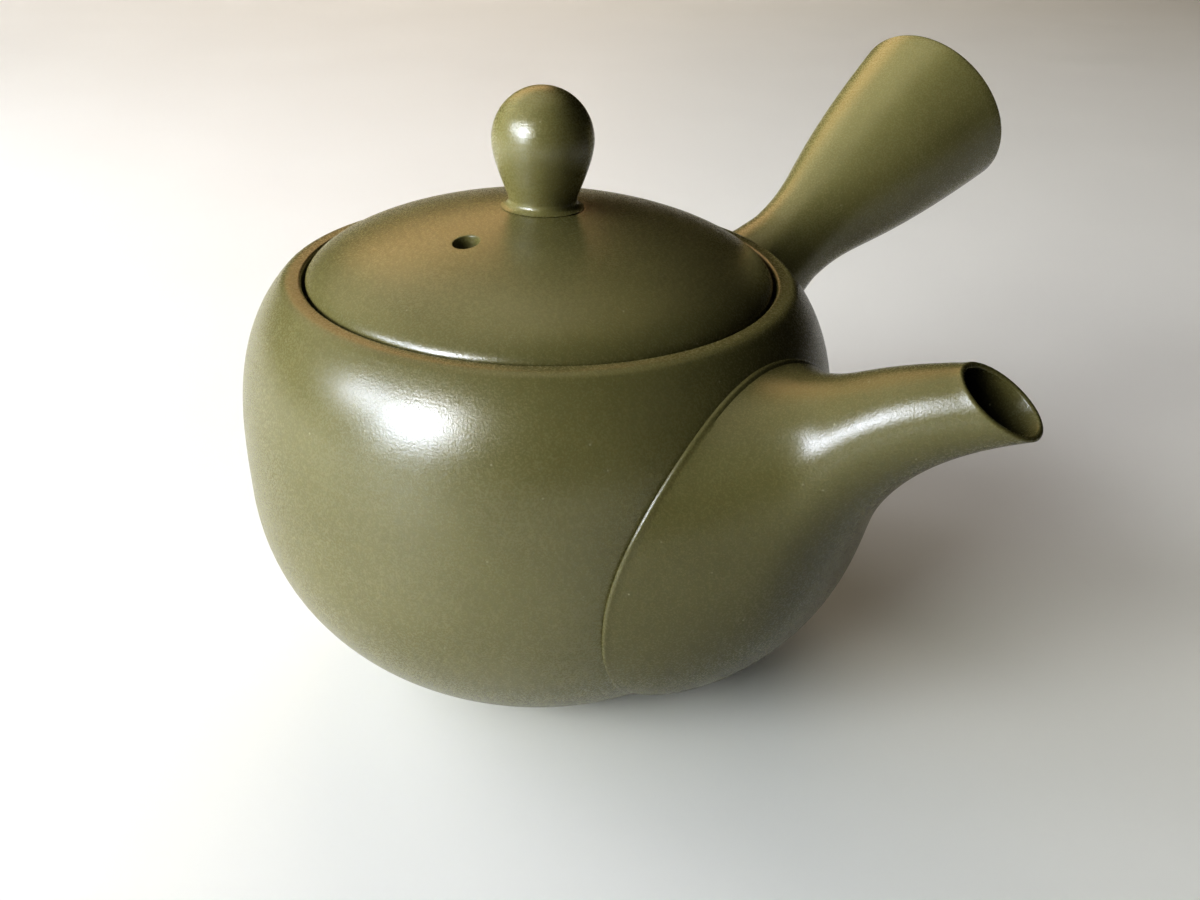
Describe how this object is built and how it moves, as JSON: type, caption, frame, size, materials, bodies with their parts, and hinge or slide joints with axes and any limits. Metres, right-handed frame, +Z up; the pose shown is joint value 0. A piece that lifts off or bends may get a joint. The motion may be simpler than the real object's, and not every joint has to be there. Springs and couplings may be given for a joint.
{
  "type": "side-handled teapot",
  "caption": "Round stoneware teapot with a hollow side handle, egg-rooted spout, fine inner strainer and inset domed lid with ball knob and steam hole.",
  "frame": {"origin": "centre of the flat foot, on the pot's wheel axis", "axes": "+X out along the spout, +Y towards the handle side, +Z up along the wheel axis"},
  "size_m": [0.1267, 0.1515, 0.0944],
  "materials": {
    "pot_clay": "satin burnished olive stoneware, faint turning lines",
    "strainer_clay": "matt unburnished olive stoneware",
    "spout_clay": "satin burnished olive stoneware",
    "handle_clay": "satin burnished olive stoneware",
    "lid_clay": "satin burnished olive stoneware",
    "knob_clay": "satin burnished olive stoneware"
  },
  "bodies": {
    "pot_body": {"body": "pot_clay", "strainer": "strainer_clay", "spout": "spout_clay", "handle": "handle_clay"},
    "lid_body": {"lid": "lid_clay", "knob": "knob_clay"}
  },
  "joints": [
    {"name": "lid_lift", "type": "slide", "parent": "pot_body", "child": "lid_body", "axis": [0, 0, 1], "range_m": [0, 0.04]}
  ]
}
